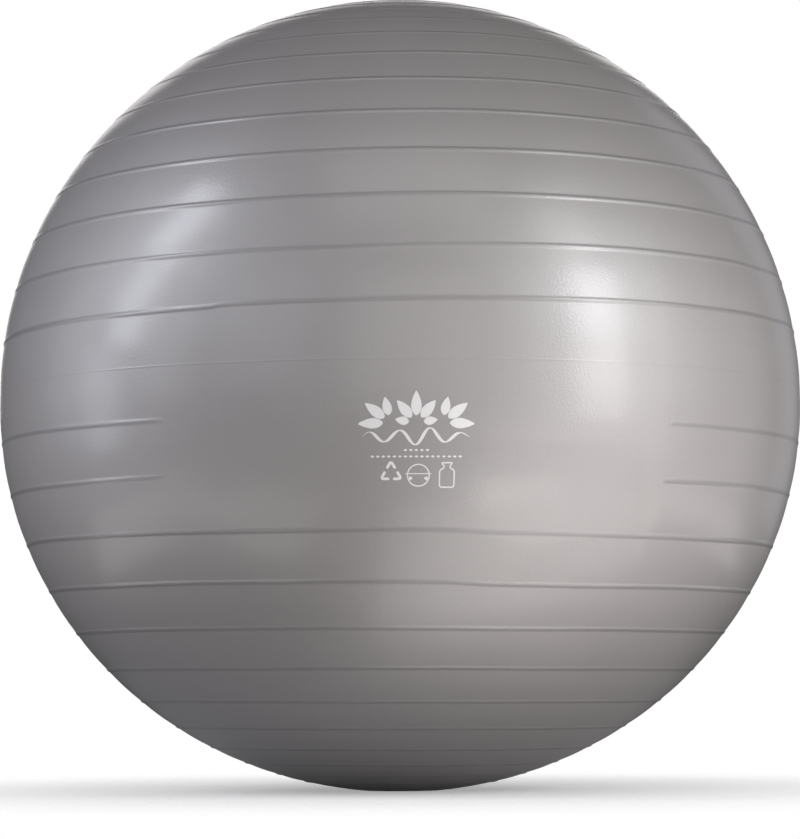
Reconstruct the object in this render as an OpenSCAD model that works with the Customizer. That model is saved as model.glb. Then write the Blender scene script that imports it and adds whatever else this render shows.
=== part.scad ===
// Inflatable exercise ball: a thin moulded skin with raised rings, a valve seat
// bonded into its top, and the plug that closes the valve.
// Millimetres, +Z up through the valve, origin at the centre of the patch that it
// rests on. The label field faces -Y.

/* [Ball] */
// Width across the middle, inflated
ball_w = 650; // [450:5:800]
// Height of the skin above the floor
ball_h = 642; // [440:1:800]
// How far the weight of the skin makes the lower half bulge and the upper half draw in
sag = 5.4; // [0:0.1:10]
// Thickness of the skin, stretched by the air inside
skin_t = 0.8; // [0.5:0.1:1.5]
// Radius of the flat patch that the ball settles on
foot_r = 32; // [15:1:60]

/* [Rings] */
// Rings in each half
ring_count = 12; // [9:1:12]
// Degrees of latitude from one ring to the next at the middle
ring_pitch = 7.54; // [6:0.01:8]
// Latitude of the last ring, near the pole
last_ring_lat = 76.2; // [70:0.1:80]
// Width of a ring at its foot
ring_w = 4.6; // [2:0.1:6]
// Height of a ring above the skin
ring_h = 0.5; // [0.3:0.1:1.5]
// Width of the mould's parting line round the middle
seam_w = 1; // [0.6:0.1:3]
// Height of the parting line
seam_h = 0.1; // [0.05:0.05:0.5]

/* [Label field] */
// Rings below the middle that stop short of the label
broken_rings = 2; // [1:1:4]
// Degrees round the ball, to each side of the label, that those rings leave plain
field_half_angle = 35.5; // [20:0.5:70]

/* [Valve seat] */
// Radius of the opening in the skin, which the seat's collar fills
port_r = 15; // [13:0.5:20]
// How far the seat's flange reaches under the skin, past the opening
flange_lap = 9; // [5:0.5:15]
// Thickness of the flange
flange_t = 1.5; // [1:0.1:3]
// Radius of the bore that the plug closes
bore_r = 4.5; // [3:0.1:5.5]
// Wall of the neck round the bore
neck_wall = 3.5; // [2:0.1:5]
// Length of the neck below the flange
neck_len = 18; // [12:0.5:30]
// Bevel at the mouth of the bore
bore_bevel = 0.5; // [0.2:0.1:1]
// Width of the notch in the collar that lets a fingernail in under the plug
notch_w = 6; // [3:0.5:8]

/* [Plug] */
// Radius of the plug's head
head_r = 9.5; // [8:0.1:10.5]
// Thickness of the head at its rim
head_t = 1.4; // [1:0.1:2.5]
// Rise of the head's dome above its rim
head_dome = 0.5; // [0.2:0.1:1]
// Gap round the head in its recess
head_gap = 0.5; // [0.2:0.1:1]
// Radial clearance of the stem in the bore
stem_gap = 0.05; // [0.02:0.01:0.1]
// How far the stem reaches past the end of the neck
stem_past = 2.5; // [1:0.5:6]
// Grooves round the stem, which leave sealing lips between them
groove_count = 3; // [1:1:4]
// Width of a groove
groove_w = 1.6; // [0.8:0.1:2]
// Depth of a groove
groove_d = 0.5; // [0.2:0.1:1]
// Length of the stem's tapered end
taper_len = 3; // [1:0.5:5]
// How much narrower, in radius, the stem is at its tip
taper_in = 1.3; // [0.5:0.1:2]

/* [Hidden] */
$fn = 180;

// Plain stretches of outline, and steps along the inside of the skin
plain_steps = 3;
inner_steps = 60;
dome_steps = 6;
// How far a broken ring's foot is sunk into the skin, as a share of its thickness
ring_root = 0.5;

middle_r = ball_w / 2;
// The radius at the poles that gives the height once the bottom is pressed flat
pole_r = (pow(ball_h, 2) + pow(foot_r, 2)) / (2 * ball_h);
pole_drop = middle_r - pole_r;

// Distance of the skin from the centre at a latitude
function skin_r(lat) =
    middle_r - pole_drop * pow(sin(lat), 2) - sag * sin(lat) * pow(cos(lat), 2);

foot_lat = -acos(foot_r / pole_r);
centre_z = -skin_r(foot_lat) * sin(foot_lat);

// A point of the outline, raised off the skin by rise
function outline(lat, rise = 0) =
    let (r = skin_r(lat) + rise) [r * cos(lat), centre_z + r * sin(lat)];

// Latitude of ring n, counted from the middle and negative below it: the rings
// close up towards the poles, where the skin stretches less
function ring_lat(n) =
    let (crowding = (ring_pitch * ring_count - last_ring_lat) / pow(ring_count, 3))
    ring_pitch * n - crowding * pow(n, 3);

// Degrees of latitude that a width covers on the skin
function width_deg(w) = w / middle_r * 180 / PI;

// A low raised bead across the outline
function bead(lat, w, h) =
    let (half = width_deg(w) / 2)
    [
        outline(lat - half),
        outline(lat - half / 2, h * 0.8),
        outline(lat, h),
        outline(lat + half / 2, h * 0.8),
        outline(lat + half)
    ];

function is_broken(n) = n < 0 && n >= -broken_rings;

function ring_or_seam(n) =
    n == 0 ? bead(0, seam_w, seam_h)
    : is_broken(n) ? [outline(ring_lat(n))]
    : bead(ring_lat(n), ring_w, ring_h);

// The plain outline between two latitudes, without its ends
function plain(from_lat, to_lat) =
    [for (i = [1 : plain_steps - 1]) outline(from_lat + (to_lat - from_lat) * i / plain_steps)];

port_lat = acos(port_r / skin_r(90));
flange_r = port_r + flange_lap;
// Under the valve the skin is thicker, so that its inside is flat where the flange lies
pad_lat = acos(flange_r / (skin_r(90) - skin_t));
pad_z = outline(pad_lat, -skin_t)[1];
collar_z = outline(port_lat)[1];

recess_r = head_r + head_gap;
recess_z = collar_z - head_t;
flange_z = min(pad_z, recess_z) - flange_t;
neck_r = bore_r + neck_wall;
neck_z = flange_z - neck_len;

stem_r = bore_r - stem_gap;
tip_z = neck_z - stem_past;
tip_r = stem_r - taper_in;

module skin() {
    outer = concat(
        [[0, 0], [outline(foot_lat)[0], 0]],
        plain(foot_lat, ring_lat(-ring_count)),
        [for (n = [-ring_count : ring_count]) each
            concat(ring_or_seam(n), n < ring_count ? plain(ring_lat(n), ring_lat(n + 1)) : [])],
        plain(ring_lat(ring_count), port_lat),
        [[port_r, collar_z], [port_r, pad_z]]
    );
    inner = [for (i = [0 : inner_steps - 1])
        outline(pad_lat + (foot_lat - pad_lat) * i / inner_steps, -skin_t)];
    rotate_extrude()
        polygon(concat(outer, inner, [[outline(foot_lat, -skin_t)[0], skin_t], [0, skin_t]]));
}

// A ring that leaves the label field plain
module broken_ring(n) {
    root = outline(ring_lat(n), -skin_t * ring_root);
    rotate([0, 0, field_half_angle - 90])
        rotate_extrude(angle = 360 - 2 * field_half_angle)
            polygon(concat(bead(ring_lat(n), ring_w, ring_h), [root]));
}

module ball_shell() {
    color([0.53, 0.51, 0.505])
        union() {
            skin();
            for (n = [1 : broken_rings]) broken_ring(-n);
        }
}

module valve_seat() {
    color([0.50, 0.48, 0.475])
        difference() {
            rotate_extrude()
                polygon([
                    [bore_r, neck_z],
                    [neck_r, neck_z],
                    [neck_r, flange_z],
                    [flange_r, flange_z],
                    [flange_r, pad_z],
                    [port_r, pad_z],
                    [port_r, collar_z],
                    [recess_r, collar_z],
                    [recess_r, recess_z],
                    [bore_r + bore_bevel, recess_z],
                    [bore_r, recess_z - bore_bevel]
                ]);
            notch();
        }
}

// The notch runs out from the recess to halfway across the collar
module notch() {
    notch_reach = (recess_r + port_r) / 2;
    translate([-notch_w / 2, -notch_reach, recess_z])
        cube([notch_w, notch_reach - head_r, head_t * 2]);
}

// Half the outline of a groove of the stem, its middle at height z
function groove(z) = [
    [stem_r, z - groove_w / 2],
    [stem_r - groove_d, z - groove_w / 4],
    [stem_r - groove_d, z + groove_w / 4],
    [stem_r, z + groove_w / 2]
];

module valve_plug() {
    lip_z = tip_z + taper_len;
    groove_pitch = (recess_z - lip_z) / (groove_count + 1);
    stem = [for (i = [1 : groove_count]) each groove(lip_z + groove_pitch * i)];
    dome = [for (i = [0 : dome_steps])
        [head_r * cos(90 * i / dome_steps), collar_z + head_dome * sin(90 * i / dome_steps)]];
    color([0.93, 0.93, 0.91])
        rotate_extrude()
            polygon(concat(
                [[0, tip_z], [tip_r, tip_z], [stem_r, lip_z]],
                stem,
                [[stem_r, recess_z], [head_r, recess_z]],
                dome
            ));
}

ball_shell();
valve_seat();
valve_plug();
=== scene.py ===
"""The looks of the inflatable exercise ball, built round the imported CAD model.

Metres and degrees. Azimuth is counted round the ball from the label, which faces -Y,
towards +X, and latitude from the middle of the ball, positive upwards.
"""

import math

import bpy
import numpy as np
from mathutils import Matrix, Quaternion, Vector


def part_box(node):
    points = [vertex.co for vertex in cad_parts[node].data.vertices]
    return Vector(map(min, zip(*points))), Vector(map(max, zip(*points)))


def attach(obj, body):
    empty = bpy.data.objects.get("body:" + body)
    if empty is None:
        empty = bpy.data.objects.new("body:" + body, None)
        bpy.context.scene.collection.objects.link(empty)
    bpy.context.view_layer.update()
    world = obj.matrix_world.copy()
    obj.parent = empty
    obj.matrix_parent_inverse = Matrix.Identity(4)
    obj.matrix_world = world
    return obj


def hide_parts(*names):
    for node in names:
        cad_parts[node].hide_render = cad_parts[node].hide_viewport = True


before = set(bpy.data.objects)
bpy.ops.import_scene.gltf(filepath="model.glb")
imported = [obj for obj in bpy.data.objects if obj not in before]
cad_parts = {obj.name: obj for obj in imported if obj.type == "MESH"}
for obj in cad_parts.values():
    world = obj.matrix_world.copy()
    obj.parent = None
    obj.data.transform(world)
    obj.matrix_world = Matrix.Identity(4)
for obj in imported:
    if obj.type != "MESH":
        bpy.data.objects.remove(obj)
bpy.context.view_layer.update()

# ---- The ball's shape, which repeats the CAD model's
SEAM_H = 0.0001
SEAM_W = 0.001
BALL_H = 0.642
FOOT_R = 0.032
SAG = 0.0054
SKIN_T = 0.0008
RING_COUNT = 12
RING_PITCH = 7.54
LAST_RING_LAT = 76.2
RING_W = 0.0046
RING_H = 0.0005
BROKEN_RINGS = 2
FIELD_HALF_ANGLE = 35.5
PORT_R = 0.015

shell_low, shell_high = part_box("ball_shell")
seat_low, seat_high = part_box("valve_seat")
MIDDLE_R = (shell_high.x - shell_low.x) / 2 - SEAM_H
POLE_R = (BALL_H**2 + FOOT_R**2) / (2 * BALL_H)
FLANGE_R = (seat_high.x - seat_low.x) / 2


def skin_r(lat):
    """Distance of the skin from the ball's centre at a latitude."""
    s, c = np.sin(np.radians(lat)), np.cos(np.radians(lat))
    return MIDDLE_R - (MIDDLE_R - POLE_R) * s**2 - SAG * s * c**2


FOOT_LAT = -math.degrees(math.acos(FOOT_R / POLE_R))
PORT_LAT = math.degrees(math.acos(PORT_R / float(skin_r(90))))
PAD_LAT = math.degrees(math.acos(FLANGE_R / (float(skin_r(90)) - SKIN_T)))
CENTRE_Z = -float(skin_r(FOOT_LAT)) * math.sin(math.radians(FOOT_LAT))
CENTRE = Vector((0, 0, CENTRE_Z))


def ring_lat(n):
    """Latitude of ring n, negative below the middle."""
    crowding = (RING_PITCH * RING_COUNT - LAST_RING_LAT) / RING_COUNT**3
    return RING_PITCH * n - crowding * n**3


def place(lat, azimuth, rise=0.0):
    """Points of the skin, raised by rise, as an array of x, y, z."""
    lat, azimuth, rise = np.broadcast_arrays(lat, azimuth, rise)
    r = skin_r(lat) + rise
    la, az = np.radians(lat), np.radians(azimuth)
    return np.stack(
        [
            r * np.cos(la) * np.sin(az),
            -r * np.cos(la) * np.cos(az),
            CENTRE_Z + r * np.sin(la),
        ],
        -1,
    )


# ---- Camera
CAMERA_AZIMUTH = -3.0
CAMERA_ELEVATION = -4.9
CAMERA_ROLL = -0.3
# Distance from the ball's centre, and the picture's size, as shares of the ball
CAMERA_DISTANCE = 8.5 * MIDDLE_R
IMAGE_W, IMAGE_H = 800, 839
BALL_SHARE = 1.0
AIM_BELOW_CENTRE = 0.0292 * 2 * MIDDLE_R


def make_camera():
    data = bpy.data.cameras.new("camera")
    camera = bpy.data.objects.new("camera", data)
    bpy.context.scene.collection.objects.link(camera)
    azimuth, elevation = math.radians(CAMERA_AZIMUTH), math.radians(CAMERA_ELEVATION)
    back = Vector(
        (
            math.sin(azimuth) * math.cos(elevation),
            -math.cos(azimuth) * math.cos(elevation),
            math.sin(elevation),
        )
    )
    location = CENTRE + back * CAMERA_DISTANCE
    aim = CENTRE - Vector((0, 0, AIM_BELOW_CENTRE))
    look = (aim - location).to_track_quat("-Z", "Y").to_matrix().to_4x4()
    roll = Matrix.Rotation(math.radians(CAMERA_ROLL), 4, "Z")
    camera.matrix_world = Matrix.Translation(location) @ look @ roll
    # The ball's outline subtends asin(R / distance) on each side of its centre
    half_ball = math.tan(math.asin(MIDDLE_R / CAMERA_DISTANCE))
    data.lens = data.sensor_width / 2 / half_ball * BALL_SHARE * IMAGE_W / IMAGE_H
    data.clip_start, data.clip_end = 0.05, 100
    bpy.context.scene.camera = camera


make_camera()

# ---- The skin: a grid of rows that follow the rings and columns that run pole to pole
COLUMN_STEP = 1.5
# Extra columns at the ends of the broken rings, as degrees from the end
END_COLUMNS = (-0.5, -0.2, -0.08, 0.0, 0.08, 0.2, 0.5)
# A broken ring fades out on the left and stops at a small nick on the right
LEFT_FADE = 2.5
NICK_DEPTH = 0.00025
NICK_HALF = 0.08
# Painted shade along the parting line, and how fast a ring's painted shade falls away from its crest
SEAM_SHADE = 0.25
SHADE_FALL = 0.8
# Rows across a ring, as shares of its half width
RING_ROWS = (-1.0, -0.75, -0.5, -0.2, 0.2, 0.5, 0.75, 1.0)
# 1 gives a ring a parabola's outline, and more draws its feet out
RING_ROUNDING = 1.4
# Distance in metres from a ring's foot to the row beside it
BESIDE_RING = 0.0009
# Rows between two rings, as shares of the way from one to the next
GAP_ROWS = (0.25, 0.5, 0.75)
# Rows close to a sharp edge, as metres from it, which keep the edge out of the shading
BESIDE_EDGE = (0.0012, 0.0003)
# Rows of the flat foot, as shares of its radius
FOOT_ROWS = (0.35, 0.7, 0.95)
# Rows of the inside of the skin
INNER_ROWS = 40
# How far the skin swells between two rings, and the share of it beside a ring
BAND_SWELL = 0.00025
BESIDE_SWELL = 0.1
# Height of the slow unevenness, and its waves: turns round the ball, slope with
# latitude, and phase
RELIEF_H = 0.00022
RELIEF_WAVES = ((5, 3, 0.4), (7, -4, 2.1), (4, 9, 4.0), (11, 5, 1.2), (9, -11, 5.3), (3, 14, 3.1))
# How far the rings above and below the middle wander, in millimetres: the same all
# round, once round the ball and twice round it
UPPER_DRIFT = (0.7, 2.2, 0.6)
LOWER_DRIFT = (1.2, -0.8, -1.2)
RING_WANDER = 0.00035
SEAM_WANDER = 0.0005
# The first ring above the middle steps up by this much between two azimuths, and
# stands higher to the left of the step
STEP_RISE = 0.0011
STEP_FROM, STEP_TO = -29.0, -27.0
STEP_AT = -28
LEFT_OF_STEP = 1.25
# The unbroken rings next to the label field dip by this much to the right of it
DIP = 0.0016
DIP_RINGS = (-3, -4)
DIP_FROM, DIP_TO = 3, 11
# Shares by which the height of the rings and of the parting line vary
RING_UNEVEN = 0.12
SEAM_UNEVEN = 0.5


def columns():
    """Azimuths of the columns, with more of them where the broken rings end."""
    even = np.arange(-180, 180 - 1e-6, COLUMN_STEP)
    ends = [side * (FIELD_HALF_ANGLE + e) for side in (-1, 1) for e in END_COLUMNS]
    near = np.array([min(abs(a - e) for e in ends) for a in even])
    return np.sort(np.concatenate([even[near > COLUMN_STEP / 4], ends]))


def waves(azimuth, seed, size, counts=(3, 5, 8, 13)):
    """A smooth wander round the ball, of about size, from a few sine waves."""
    total = np.zeros_like(azimuth)
    for k in counts:
        phase = 57.3 * math.sin(12.9898 * seed + 4.1414 * k)
        total += np.sin(np.radians(k * azimuth) + phase) / math.sqrt(k)
    return total * size / 1.2


def smooth_step(x, start, end):
    t = np.clip((x - start) / (end - start), 0, 1)
    return t * t * (3 - 2 * t)


def drift(n, azimuth):
    """How far ring n wanders from its circle of latitude, in metres."""
    az = np.radians(azimuth)
    if n > 0:
        even, once, twice = UPPER_DRIFT
    else:
        even, once, twice = LOWER_DRIFT
    broad = even + once * np.sin(az) + twice * np.sin(2 * az)
    fade = math.cos(math.radians(ring_lat(n)))
    total = broad * 0.001 * fade + waves(azimuth, n, RING_WANDER)
    on_front = azimuth < 90
    if n == 1:
        total = total + STEP_RISE * smooth_step(azimuth, STEP_FROM, STEP_TO) * on_front
    if n in DIP_RINGS:
        total = total - DIP * smooth_step(azimuth, DIP_FROM, DIP_TO) * on_front
    return total


def relief(lat, azimuth):
    """Slow unevenness of the inflated skin, in metres."""
    lat, azimuth = np.broadcast_arrays(lat, azimuth)
    total = np.zeros(lat.shape)
    for across, up, phase in RELIEF_WAVES:
        total += np.sin(np.radians(across * azimuth + up * lat) + phase)
    return RELIEF_H * total * np.cos(np.radians(lat)) ** 2 / math.sqrt(len(RELIEF_WAVES))


def field_share(lat, azimuth):
    """1 over the plain label field and 0 away from it."""
    inside = 1 - smooth_step(np.abs(azimuth), FIELD_HALF_ANGLE - 8, FIELD_HALF_ANGLE + 2)
    below = smooth_step(-lat, -2, 2) * (1 - smooth_step(-lat, -ring_lat(-3) - 6, -ring_lat(-3)))
    return inside * below


def ring_height(n, azimuth):
    """Height of ring n round the ball: it varies a little, and a broken ring ends."""
    height = RING_H * (1 + waves(azimuth, n + 40, RING_UNEVEN))
    if n == 1:
        height = height * np.where(azimuth < STEP_AT, LEFT_OF_STEP, 1.0)
    if -BROKEN_RINGS <= n < 0:
        left = smooth_step(-azimuth, FIELD_HALF_ANGLE, FIELD_HALF_ANGLE + LEFT_FADE)
        right = smooth_step(azimuth, FIELD_HALF_ANGLE, FIELD_HALF_ANGLE + NICK_HALF)
        height = height * (left + right)
    return height


def nick(n, azimuth):
    """How far the skin dips where a broken ring stops."""
    if not -BROKEN_RINGS <= n < 0:
        return np.zeros_like(azimuth)
    near = np.clip(1 - np.abs(azimuth - FIELD_HALF_ANGLE) / NICK_HALF, 0, 1)
    return -NICK_DEPTH * near


def skin_rows():
    """(latitude, rise, shade) of every outer row, each an array with one value per column.

    Shade is how much darker the skin is painted, a painted shade: most near the crest of a ring, and
    also at the nick where a broken ring stops and along the parting line.
    """
    az = columns()
    flat = np.zeros_like(az)
    rows = []
    centres = {n: ring_lat(n) + np.degrees(drift(n, az) / MIDDLE_R)
               for n in range(-RING_COUNT, RING_COUNT + 1) if n}
    centres[0] = np.degrees(waves(az, 0.5, SEAM_WANDER) / MIDDLE_R)
    half_ring = math.degrees(RING_W / 2 / MIDDLE_R)
    half_seam = math.degrees(SEAM_W / 2 / MIDDLE_R)
    beside = math.degrees(BESIDE_RING / MIDDLE_R)

    def plain(low, high, swell=0.0):
        for t in GAP_ROWS:
            lat = low + (high - low) * t
            rows.append((lat, swell * 4 * t * (1 - t) * (1 - field_share(lat, az)), flat))

    def edge(lat, swell):
        rows.append((lat, swell * (1 - field_share(lat, az)), flat))

    near_swell = BAND_SWELL * BESIDE_SWELL
    lowest = centres[-RING_COUNT] - half_ring - beside
    plain(flat + FOOT_LAT, lowest)
    for n in range(-RING_COUNT, RING_COUNT + 1):
        half = half_seam if n == 0 else half_ring
        swell = 0.0 if n == 0 else near_swell
        edge(centres[n] - half - beside, swell)
        if n == 0:
            rows.append((centres[0] - half, flat, flat))
            crest = flat + SEAM_H * (1 + waves(az, 7.7, SEAM_UNEVEN))
            # The parting line's crest gets a painted shade, a dark hairline in its colour
            rows.append((centres[0], crest, flat + SEAM_SHADE))
            rows.append((centres[0] + half, flat, flat))
        else:
            height, dip = ring_height(n, az), nick(n, az)
            for t in RING_ROWS:
                rise = height * (1 - t * t) ** RING_ROUNDING
                # Painted shade, darkest at the crest and at the nick where a broken ring stops
                shade = (1 - abs(t)) ** SHADE_FALL * height / RING_H - dip / NICK_DEPTH
                rows.append((centres[n] + half * t, rise + dip, shade))
        edge(centres[n] + half + beside, swell)
        if n < RING_COUNT:
            plain(centres[n] + half + beside, centres[n + 1] - half_ring - beside,
                  BAND_SWELL)
    plain(centres[RING_COUNT] + half_ring + beside, flat + PORT_LAT)
    for gap in BESIDE_EDGE:
        rows.append((flat + PORT_LAT - math.degrees(gap / POLE_R), flat, flat))
    return az, rows


def grid_mesh(name, rings):
    """A mesh from rings of points, each an array of as many points, with a fan at both ends."""
    count = len(rings[0])
    points = np.concatenate(rings + [rings[0].mean(0)[None], rings[-1].mean(0)[None]])
    first, last = len(points) - 2, len(points) - 1
    faces = []
    for i in range(len(rings) - 1):
        a, b = i * count, (i + 1) * count
        k = np.arange(count)
        m = (k + 1) % count
        faces += np.stack([a + k, a + m, b + m, b + k], -1).tolist()
    top = (len(rings) - 1) * count
    for k in range(count):
        m = (k + 1) % count
        faces.append([first, m, k])
        faces.append([last, top + k, top + m])
    mesh = bpy.data.meshes.new(name)
    mesh.from_pydata(points.tolist(), [], faces)
    mesh.shade_smooth()
    piece = bpy.data.objects.new(name, mesh)
    bpy.context.scene.collection.objects.link(piece)
    return piece


def make_skin():
    """The whole skin as one closed solid: outside from the foot to the valve, then the inside."""
    az, rows = skin_rows()
    rings = []
    for share in FOOT_ROWS:
        rings.append(place(FOOT_LAT, az) * [share, share, 0])
    rings.append(place(FOOT_LAT, az))
    first_row = len(rings)
    rings += [place(lat, az, rise + relief(lat, az)) for lat, rise, _ in rows]
    rim = place(PORT_LAT, az)
    pad_z = float(place(PAD_LAT, 0, -SKIN_T)[2])
    rings.append(rim)
    for z in (rim[0, 2] - BESIDE_EDGE[-1], pad_z):
        rings.append(np.column_stack([rim[:, :2], np.full(len(az), z)]))
    for i in range(INNER_ROWS + 1):
        lat = PAD_LAT + (FOOT_LAT - PAD_LAT) * i / INNER_ROWS
        rings.append(place(lat, az, -SKIN_T))
    piece = grid_mesh("ball_skin", rings)
    # Painted shade of each outer point; the foot and the inside have none
    shades = np.zeros(len(piece.data.vertices), np.float32)
    start = first_row * len(az)
    shades[start:start + len(rows) * len(az)] = np.concatenate([shade for _, _, shade in rows])
    layer = piece.data.attributes.new("painted_ring_shade", "FLOAT", "POINT")
    layer.data.foreach_set("value", np.clip(shades, 0, 1))
    return piece


# ---- The white print: generic marks in place of the maker's, with no lettering.
# Its shapes are laid out flat, in millimetres right and up from the label's middle.
LABEL_LAT, LABEL_AZIMUTH = -10.4, -0.9
INK_TOP, INK_ROOT = 0.00012, -0.00010
INK_STEP = 0.7


def on_label(points, rise):
    """Flat label points, wrapped on to the skin."""
    points = np.asarray(points, float) * 0.001
    lat = LABEL_LAT + np.degrees(points[:, 1] / MIDDLE_R)
    around = MIDDLE_R * math.cos(math.radians(LABEL_LAT))
    azimuth = LABEL_AZIMUTH + np.degrees(points[:, 0] / around)
    return place(lat, azimuth, relief(lat, azimuth) + rise)


class Ink:
    """Collects the print's shapes as thin closed solids in one mesh."""

    def __init__(self):
        self.points, self.faces, self.count = [], [], 0

    def strip(self, path, half_widths, closed=False, across=2):
        """A band along a path, with a half width at each of its points."""
        path, half = np.asarray(path, float), np.asarray(half_widths, float)
        if closed:
            along = np.roll(path, -1, 0) - np.roll(path, 1, 0)
        else:
            along = np.gradient(path, axis=0)
        along /= np.linalg.norm(along, axis=1)[:, None]
        side = np.stack([-along[:, 1], along[:, 0]], -1)
        shares = np.linspace(-1, 1, across + 1)
        top = [on_label(path + side * (half * t)[:, None], INK_TOP) for t in shares]
        root = [on_label(path + side * (half * t)[:, None], INK_ROOT) for t in shares]
        loop = top[::-1] + root
        width, length = len(loop), len(path)
        self.points.append(np.stack(loop, 1).reshape(-1, 3))
        base = self.count
        for i in range(length if closed else length - 1):
            a, b = base + i * width, base + (i + 1) % length * width
            for j in range(width):
                k = (j + 1) % width
                self.faces.append([a + j, a + k, b + k, b + j])
        if not closed:
            last = base + (length - 1) * width
            self.faces.append([base + j for j in range(width)][::-1])
            self.faces.append([last + j for j in range(width)])
        self.count += width * length

    def line(self, points, width, closed=False):
        """A line of one width through corner points, with round ends."""
        points = np.asarray(points, float)
        if closed:
            points = np.vstack([points, points[:1]])
        lengths = np.concatenate([[0], np.cumsum(np.linalg.norm(np.diff(points, axis=0), axis=1))])
        steps = max(3, math.ceil(lengths[-1] / INK_STEP))
        at = np.linspace(0, lengths[-1], steps + 1)
        half = np.full(len(at), width / 2)
        if closed:
            at, half = at[:-1], half[:-1]
        else:
            reach = width / 2
            cap = reach * (1 - np.cos(np.radians([5, 35, 60, 90])))
            at = np.concatenate([cap, at[(at > reach) & (at < lengths[-1] - reach)],
                                 lengths[-1] - cap[::-1]])
            from_end = np.minimum(at, lengths[-1] - at)
            rest = np.clip(reach - from_end, 0, reach)
            half = np.sqrt(reach**2 - rest**2)
        path = np.stack([np.interp(at, lengths, points[:, i]) for i in (0, 1)], -1)
        self.strip(path, half, closed)

    def leaf(self, root, angle, length, width, start=0.0, blunt=0.75):
        """A solid leaf that points away from root, at an angle from straight up."""
        t = 0.5 - 0.5 * np.cos(np.linspace(0.02, 1, 25) * math.pi * 0.995)
        turn = math.radians(angle)
        path = np.stack([root[0] + (start + length * t) * math.sin(turn),
                         root[1] + (start + length * t) * math.cos(turn)], -1)
        half = width / 2 * np.sin(math.pi * t**blunt) ** 0.85 + 0.05
        self.strip(path, half, across=8)

    def piece(self, name):
        mesh = bpy.data.meshes.new(name)
        mesh.from_pydata(np.concatenate(self.points).tolist(), [], self.faces)
        piece = bpy.data.objects.new(name, mesh)
        bpy.context.scene.collection.objects.link(piece)
        return piece


def arc(centre, radius, start, end, steps=24):
    """Points on an arc, in degrees counted anticlockwise from +X."""
    a = np.radians(np.linspace(start, end, steps + 1))
    return np.stack([centre[0] + radius * np.cos(a), centre[1] + radius * np.sin(a)], -1)


def make_emblem():
    """A fan of five leaves between two sprays of three."""
    ink = Ink()
    # Angle from straight up, length and width of each leaf of the fan and of a spray
    fan = ((0, 19.0, 7.4), (40, 17.0, 7.4), (80, 11.0, 6.0))
    spray = ((12, 14.5, 6.6), (52, 18.5, 7.6), (92, 19.0, 7.4))
    for side in (-1, 1):
        for angle, length, width in fan:
            if angle or side > 0:
                ink.leaf((0, 12.0), side * angle, length - 1, width, 5.5)
        for angle, length, width in spray:
            ink.leaf((side * 18.6, 12.4), side * angle, length - 1, width, 5.5)
    return ink.piece("print_emblem")


def make_flourish():
    """A long wave that swells and thins like a brush stroke."""
    ink = Ink()
    t = np.linspace(0, 1, 160)
    turn = 2 * math.pi * 3.5 * t
    rise = np.sin(turn + 0.3) * np.sin(math.pi * t) ** 0.4 * (1 + 0.2 * np.cos(turn / 2))
    path = np.stack([78 * t - 39, 2.4 + 5.4 * rise], -1)
    half = (0.4 + 0.75 * np.abs(np.cos(turn + 0.3))) * np.clip(8 * np.minimum(t, 1 - t), 0.1, 1)
    ink.strip(path, half)
    return ink.piece("print_flourish")


def make_dots():
    """A long row of small lozenges with a short row over its middle."""
    ink = Ink()
    for count, height in ((5, -7.6), (17, -12.2)):
        for i in range(count):
            x = 4 * (i - (count - 1) / 2)
            path = [(x + t, height) for t in (-1.3, -0.65, 0, 0.65, 1.3)]
            ink.strip(path, [0.12, 0.6, 0.85, 0.6, 0.12])
    return ink.piece("print_dots")


def make_pictograms():
    """A chasing triangle, a ball with its width arrow, and a weight, all without figures."""
    ink = Ink()
    stroke = 1.2
    middle, reach = (-18.5, -24.2), 8.6
    for turn in (90, 210, 330):
        before, corner, after = arc(middle, reach, turn - 120, turn + 120, 2)
        a, b = corner + (before - corner) * 0.42, corner + (before - corner) * 0.14
        c, d = corner + (after - corner) * 0.14, corner + (after - corner) * 0.42
        bend = [(1 - t) ** 2 * b + 2 * t * (1 - t) * corner + t**2 * c for t in np.linspace(0, 1, 7)]
        ink.line([a, *bend, d], 2.0)
    ball = (1.5, -26.0)
    ink.line(arc(ball, 8.0, 0, 360, 48)[:-1], stroke * 0.75, closed=True)
    ink.line([(ball[0] - 9.6, ball[1] + 1.2), (ball[0] + 9.6, ball[1] + 1.2)], stroke * 0.6)
    for side in (-1, 1):
        tip = (ball[0] + side * 6.9, ball[1] - 2.2)
        ink.leaf(tip, -side * 90, 2.8, 2.8, blunt=0.5)
    weight = (22.5, -26.0)
    half_body, half_neck, half_lid = 5.4, 2.2, 3.8
    outline = [
        (-half_lid, 9.2), (half_lid, 9.2), (half_lid - 0.6, 8.0), (half_neck, 7.0),
        (half_neck + 0.2, 5.4), (half_body - 0.6, 4.0), (half_body, 2.6), (half_body, -7.6),
        (half_body - 1.0, -8.8), (-half_body + 1.0, -8.8), (-half_body, -7.6), (-half_body, 2.6),
        (-half_body + 0.6, 4.0), (-half_neck - 0.2, 5.4), (-half_neck, 7.0), (-half_lid + 0.6, 8.0),
    ]
    ink.line([(weight[0] + x, weight[1] + y) for x, y in outline], stroke * 0.8, closed=True)
    return ink.piece("print_pictograms")


# ---- Materials
def node_material(name):
    material = bpy.data.materials.new(name)
    material.use_nodes = True
    nodes = material.node_tree.nodes
    return material, nodes, material.node_tree.links, nodes["Principled BSDF"]


def noise(nodes, links, coords, scale, detail=2.0, roughness=0.5):
    node = nodes.new("ShaderNodeTexNoise")
    node.inputs["Scale"].default_value = scale
    node.inputs["Detail"].default_value = detail
    node.inputs["Roughness"].default_value = roughness
    links.new(coords.outputs["Object"], node.inputs["Vector"])
    return node


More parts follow.
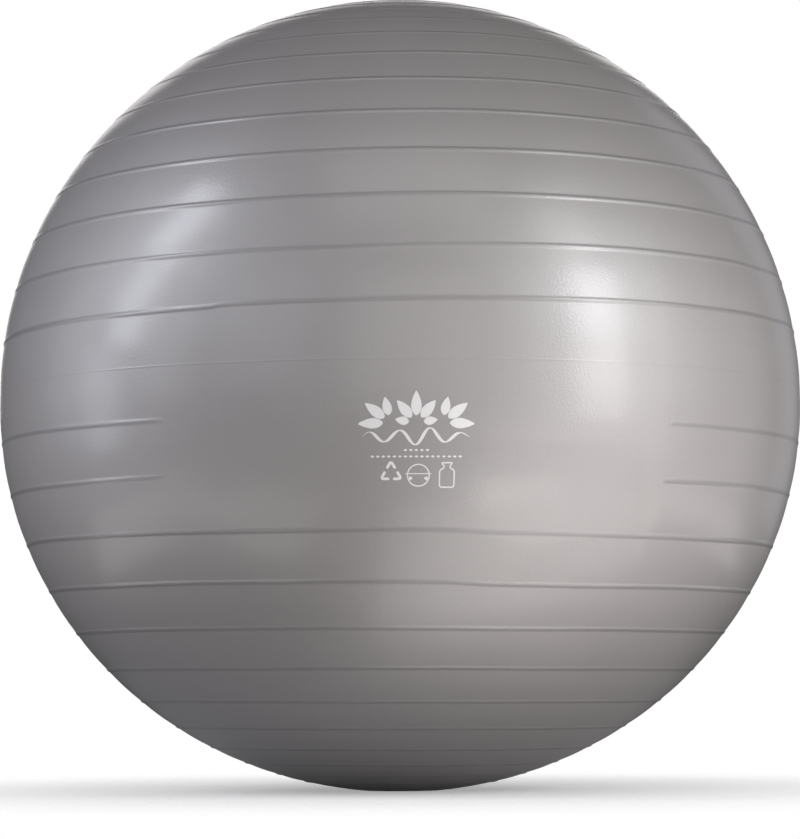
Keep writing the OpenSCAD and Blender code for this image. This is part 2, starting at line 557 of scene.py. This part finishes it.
def ramp(nodes, links, source, low, high, low_value, high_value):
    node = nodes.new("ShaderNodeMapRange")
    node.inputs["From Min"].default_value = low
    node.inputs["From Max"].default_value = high
    node.inputs["To Min"].default_value = low_value
    node.inputs["To Max"].default_value = high_value
    links.new(source, node.inputs["Value"])
    return node


def two_tone(nodes, links, factor, first, second):
    node = nodes.new("ShaderNodeMix")
    node.data_type = "RGBA"
    node.inputs["A"].default_value = (*first, 1)
    node.inputs["B"].default_value = (*second, 1)
    links.new(factor, node.inputs["Factor"])
    return node


# The skin's colour where its painted shade is 1, as a share of its colour where it is 0
PAINTED_SHADE_TONE = 0.6


def skin_material():
    """Pearl-grey soft PVC: satin, with a thin gloss over it that a fine grain breaks up, and painted
    shade along its rings and parting line.
    """
    material, nodes, links, shader = node_material("skin_pvc")
    shader.inputs["IOR"].default_value = 2.0
    shader.inputs["Specular IOR Level"].default_value = 1.0
    shader.inputs["Coat Weight"].default_value = 0.55
    shader.inputs["Coat Roughness"].default_value = 0.18
    coords = nodes.new("ShaderNodeTexCoord")
    mottle = noise(nodes, links, coords, 9.0, 4.0)
    tone = two_tone(nodes, links, mottle.outputs["Fac"], (0.262, 0.245, 0.243), (0.282, 0.264, 0.262))
    speck = noise(nodes, links, coords, 420.0, 2.0, 0.6)
    fleck = ramp(nodes, links, speck.outputs["Fac"], 0.3, 0.7, 0.975, 1.025)
    colour = nodes.new("ShaderNodeVectorMath")
    colour.operation = "SCALE"
    # Painted shade: the colour darkens along the rings' crests, at the nicks and along the parting
    # line, times the random fleck
    ring = nodes.new("ShaderNodeAttribute")
    ring.attribute_name = "painted_ring_shade"
    ring_painted_shade = ramp(nodes, links, ring.outputs["Fac"], 0.0, 1.0, 1.0, PAINTED_SHADE_TONE)
    depth = nodes.new("ShaderNodeMath")
    depth.operation = "MULTIPLY"
    links.new(fleck.outputs["Result"], depth.inputs[0])
    links.new(ring_painted_shade.outputs["Result"], depth.inputs[1])
    links.new(tone.outputs["Result"], colour.inputs[0])
    links.new(depth.outputs["Value"], colour.inputs["Scale"])
    links.new(colour.outputs["Vector"], shader.inputs["Base Color"])
    gloss = noise(nodes, links, coords, 30.0, 3.0)
    rough = ramp(nodes, links, gloss.outputs["Fac"], 0.3, 0.7, 0.53, 0.57)
    links.new(rough.outputs["Result"], shader.inputs["Roughness"])
    grain = noise(nodes, links, coords, 640.0, 1.0, 0.5)
    bump = nodes.new("ShaderNodeBump")
    bump.inputs["Strength"].default_value = 0.5
    bump.inputs["Distance"].default_value = 0.0002
    links.new(grain.outputs["Fac"], bump.inputs["Height"])
    links.new(bump.outputs["Normal"], shader.inputs["Normal"])
    links.new(bump.outputs["Normal"], shader.inputs["Coat Normal"])
    return material


def ink_material():
    """White screen-print ink: thin, so the skin's grain shows in it."""
    material, nodes, links, shader = node_material("print_ink")
    coords = nodes.new("ShaderNodeTexCoord")
    cover = noise(nodes, links, coords, 420.0, 3.0, 0.6)
    tone = two_tone(nodes, links, cover.outputs["Fac"], (0.80, 0.80, 0.80), (0.90, 0.90, 0.90))
    links.new(tone.outputs["Result"], shader.inputs["Base Color"])
    rough = ramp(nodes, links, cover.outputs["Fac"], 0.3, 0.7, 0.42, 0.55)
    links.new(rough.outputs["Result"], shader.inputs["Roughness"])
    return material


def moulded_material(name, dark, light, roughness, grain_depth):
    """A moulded piece of one colour: faint mottling, uneven gloss and a fine grain."""
    material, nodes, links, shader = node_material(name)
    coords = nodes.new("ShaderNodeTexCoord")
    mottle = noise(nodes, links, coords, 160.0, 4.0)
    tone = two_tone(nodes, links, mottle.outputs["Fac"], dark, light)
    links.new(tone.outputs["Result"], shader.inputs["Base Color"])
    gloss = noise(nodes, links, coords, 500.0, 3.0)
    rough = ramp(nodes, links, gloss.outputs["Fac"], 0.3, 0.7, *roughness)
    links.new(rough.outputs["Result"], shader.inputs["Roughness"])
    grain = noise(nodes, links, coords, 2500.0, 2.0)
    bump = nodes.new("ShaderNodeBump")
    bump.inputs["Strength"].default_value = 0.4
    bump.inputs["Distance"].default_value = grain_depth
    links.new(grain.outputs["Fac"], bump.inputs["Height"])
    links.new(bump.outputs["Normal"], shader.inputs["Normal"])
    return material


# ---- The stage: floor, world and lights
# The floor clears from one radius to another, and how clear it is at each
FLOOR_FADE = (0.05, 0.60, 0.35, 1.0)


def make_floor():
    bpy.ops.mesh.primitive_circle_add(vertices=96, radius=6, fill_type="NGON")
    floor = bpy.context.object
    floor.name = "floor"
    material, nodes, links, shader = node_material("floor_paper")
    shader.inputs["Base Color"].default_value = (0.86, 0.86, 0.86, 1)
    shader.inputs["Roughness"].default_value = 0.9
    coords = nodes.new("ShaderNodeTexCoord")
    length = nodes.new("ShaderNodeVectorMath")
    length.operation = "LENGTH"
    links.new(coords.outputs["Object"], length.inputs[0])
    fade = ramp(nodes, links, length.outputs["Value"], *FLOOR_FADE)
    fade.interpolation_type = "SMOOTHSTEP"
    clear = nodes.new("ShaderNodeBsdfTransparent")
    mix = nodes.new("ShaderNodeMixShader")
    links.new(fade.outputs["Result"], mix.inputs["Fac"])
    links.new(shader.outputs["BSDF"], mix.inputs[1])
    links.new(clear.outputs["BSDF"], mix.inputs[2])
    links.new(mix.outputs["Shader"], nodes["Material Output"].inputs["Surface"])
    floor.data.materials.append(material)


WORLD_WHITE = 1.0
AMBIENT = 0.05


def make_world():
    world = bpy.data.worlds.new("studio")
    bpy.context.scene.world = world
    world.use_nodes = True
    nodes, links = world.node_tree.nodes, world.node_tree.links
    white = nodes["Background"]
    white.inputs["Color"].default_value = (1, 1, 1, 1)
    white.inputs["Strength"].default_value = WORLD_WHITE
    room = nodes.new("ShaderNodeBackground")
    room.name = "room"
    room.inputs["Color"].default_value = (1, 1, 1, 1)
    room.inputs["Strength"].default_value = AMBIENT
    path = nodes.new("ShaderNodeLightPath")
    mix = nodes.new("ShaderNodeMixShader")
    links.new(path.outputs["Is Camera Ray"], mix.inputs["Fac"])
    links.new(room.outputs["Background"], mix.inputs[1])
    links.new(white.outputs["Background"], mix.inputs[2])
    links.new(mix.outputs["Shader"], nodes["World Output"].inputs["Surface"])


WARM, NEUTRAL = (1.0, 0.96, 0.935), (1.0, 0.965, 0.96)
WHITE, COOL = (0.96, 0.975, 1.0), (0.87, 0.90, 1.0)
# Boxes that face the ball's centre: azimuth, elevation, distance, width, height,
# watts, tint, and the roll of a box that leans
SOFT_BOXES = {
    "front": (0, 12, 3.4, 2.0, 2.0, 14.5, NEUTRAL, 0),
    "front_left": (-40, 15, 3.0, 1.2, 1.5, 6.0, COOL, 0),
    "top_front": (0, 55, 2.4, 1.6, 1.0, 6.0, NEUTRAL, 0),
    "key_low": (50, 2, 2.0, 0.5, 0.6, 6.5, NEUTRAL, 0),
    "key_middle": (50, 20, 2.0, 0.5, 0.6, 11.5, WHITE, 0),
    "key_high": (50, 38, 2.0, 0.5, 0.6, 2.5, NEUTRAL, 0),
    "beside_key": (67, 8, 2.0, 0.5, 1.7, 2.0, NEUTRAL, 0),
    "right": (84, 6, 2.0, 0.6, 1.5, 0.7, NEUTRAL, 0),
    "far_right": (102, 0, 2.0, 0.6, 1.3, 1.0, NEUTRAL, 0),
    "left_front": (-66, 20, 1.9, 0.5, 1.6, 2.0, NEUTRAL, 0),
    "left_low": (-88, 0, 1.9, 0.4, 0.6, 2.5, COOL, 0),
    "left_middle": (-79, 19, 1.9, 0.34, 0.60, 4.5, COOL, -12),
    "left_high": (-74, 38, 1.9, 0.34, 0.60, 6.0, COOL, -16),
    "far_left": (-100, 10, 1.9, 0.5, 1.0, 1.0, COOL, -8),
    "right_back": (135, 15, 1.9, 0.6, 1.8, 1.5, COOL, 0),
    "back": (180, 18, 2.4, 1.6, 1.2, 10.0, NEUTRAL, 0),
}
# Glowing patches of the floor, for the light that it throws up at the ball: x, y,
# width, depth, watts, tint
FLOOR_PATCHES = {
    "glow_right": (0.30, -0.55, 0.30, 0.25, 1.4, WARM),
    "glow_far_right": (0.45, -0.45, 0.35, 0.35, 0.4, NEUTRAL),
    "glow_side_right": (0.80, -0.05, 0.35, 0.60, 0.8, NEUTRAL),
    "glow_middle": (0.15, -0.45, 0.40, 0.30, 0.3, WARM),
    "glow_left": (-0.35, -0.50, 0.30, 0.25, 0.25, NEUTRAL),
    "glow_far_left": (-0.65, -0.25, 0.35, 0.50, 0.6, NEUTRAL),
}
PATCH_Z = 0.012


def area_light(name, width, height, power, colour):
    data = bpy.data.lights.new(name, "AREA")
    data.shape = "RECTANGLE"
    data.size, data.size_y = width, height
    data.energy = power
    data.color = colour
    lamp = bpy.data.objects.new(name, data)
    lamp.rotation_mode = "QUATERNION"
    lamp.visible_camera = False
    bpy.context.scene.collection.objects.link(lamp)
    return lamp


def make_lights():
    for name, box in SOFT_BOXES.items():
        azimuth, elevation, distance, width, height, power, colour, roll = box
        lamp = area_light(name, width, height, power, colour)
        az, el = math.radians(azimuth), math.radians(elevation)
        away = Vector((math.sin(az) * math.cos(el), -math.cos(az) * math.cos(el), math.sin(el)))
        lamp.location = CENTRE + away * distance
        lean = Quaternion((0, 0, 1), math.radians(roll))
        lamp.rotation_quaternion = away.to_track_quat("Z", "Y") @ lean
    for name, (x, y, width, depth, power, colour) in FLOOR_PATCHES.items():
        lamp = area_light(name, width, depth, power, colour)
        lamp.location = (x, y, PATCH_Z)
        lamp.rotation_quaternion = Quaternion((1, 0, 0), math.pi)


make_floor()
make_world()
make_lights()
skin = make_skin()
skin.data.materials.append(skin_material())
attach(skin, "ball")
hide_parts("ball_shell")
for node, part_slot, material in (
    ("valve_seat", "valve_seat", moulded_material(
        "seat_pvc", (0.215, 0.200, 0.196), (0.245, 0.230, 0.225), (0.38, 0.50), 0.00008)),
    ("valve_plug", "plug", moulded_material(
        "plug_plastic", (0.78, 0.78, 0.75), (0.84, 0.84, 0.82), (0.26, 0.38), 0.00003)),
):
    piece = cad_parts[node]
    piece.data.materials.clear()
    piece.data.materials.append(material)
ink = ink_material()
for mark in (make_emblem(), make_flourish(), make_dots(), make_pictograms()):
    mark.data.materials.append(ink)
    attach(mark, "ball")

bpy.context.scene.view_settings.view_transform = "Standard"
